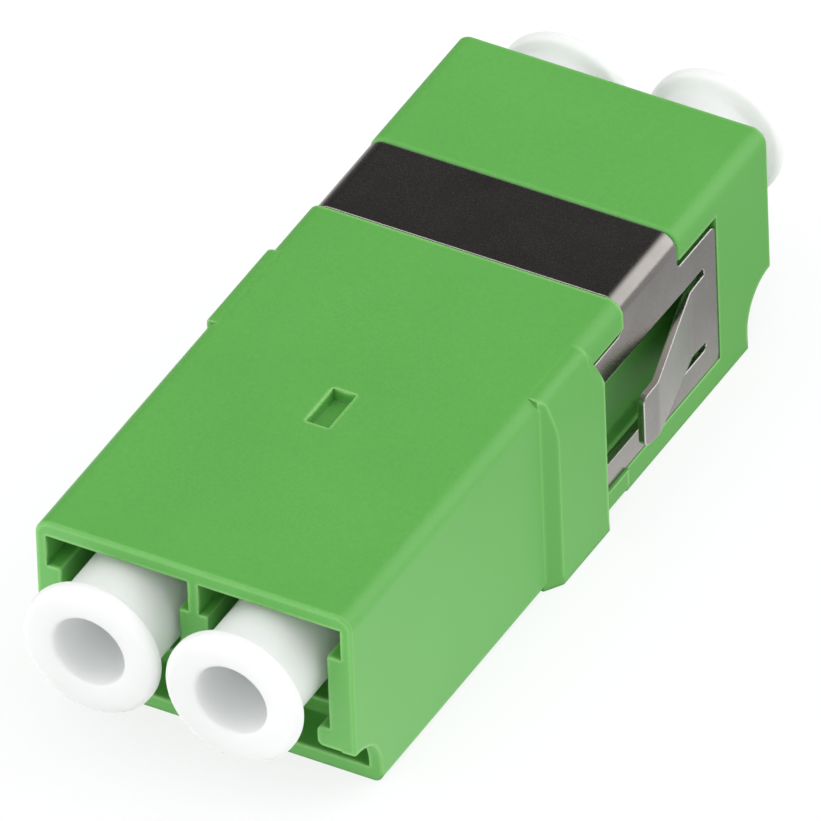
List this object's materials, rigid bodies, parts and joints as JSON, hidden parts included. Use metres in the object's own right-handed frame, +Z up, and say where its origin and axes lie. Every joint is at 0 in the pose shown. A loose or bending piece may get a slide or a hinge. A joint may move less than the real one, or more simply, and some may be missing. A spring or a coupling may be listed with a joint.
{
  "type": "flangeless duplex fiber coupler",
  "caption": "Slim duplex fibre coupler open at both ends, held in a panel cut-out by side stops and a folded steel spring clip, with a pull-out dust cap in each port.",
  "frame": {"origin": "middle of the flat underside, halfway between the two ends", "axes": "+Y along the ports towards the end with the clip, +Z up, X across the two ports; -Y is the front in the picture"},
  "size_m": [0.0162, 0.039, 0.0094],
  "materials": {
    "green_plastic": "moulded green plastic with a fine satin texture",
    "spring_steel": "rolled spring steel, lightly grained",
    "holder_plastic": "moulded green plastic, a shade darker than the body",
    "ceramic": "ground white ceramic",
    "cap_plastic": "soft milky polyethylene, slightly see-through"
  },
  "bodies": {
    "coupler": {"housing": "green_plastic", "panel_clip": "spring_steel", "front_sleeve_holder_left": "holder_plastic", "front_sleeve_holder_right": "holder_plastic", "rear_sleeve_holder_left": "holder_plastic", "rear_sleeve_holder_right": "holder_plastic", "ceramic_sleeve_left": "ceramic", "ceramic_sleeve_right": "ceramic"},
    "front_cap_left": {"front_dust_cap_left": "cap_plastic"},
    "front_cap_right": {"front_dust_cap_right": "cap_plastic"},
    "rear_cap_left": {"rear_dust_cap_left": "cap_plastic"},
    "rear_cap_right": {"rear_dust_cap_right": "cap_plastic"}
  },
  "joints": [
    {"name": "front_cap_left_slide", "type": "slide", "parent": "coupler", "child": "front_cap_left", "axis": [0, -1, 0], "range_m": [0, 0.014]},
    {"name": "front_cap_right_slide", "type": "slide", "parent": "coupler", "child": "front_cap_right", "axis": [0, -1, 0], "range_m": [0, 0.014]},
    {"name": "rear_cap_left_slide", "type": "slide", "parent": "coupler", "child": "rear_cap_left", "axis": [0, 1, 0], "range_m": [0, 0.014]},
    {"name": "rear_cap_right_slide", "type": "slide", "parent": "coupler", "child": "rear_cap_right", "axis": [0, 1, 0], "range_m": [0, 0.014]}
  ]
}
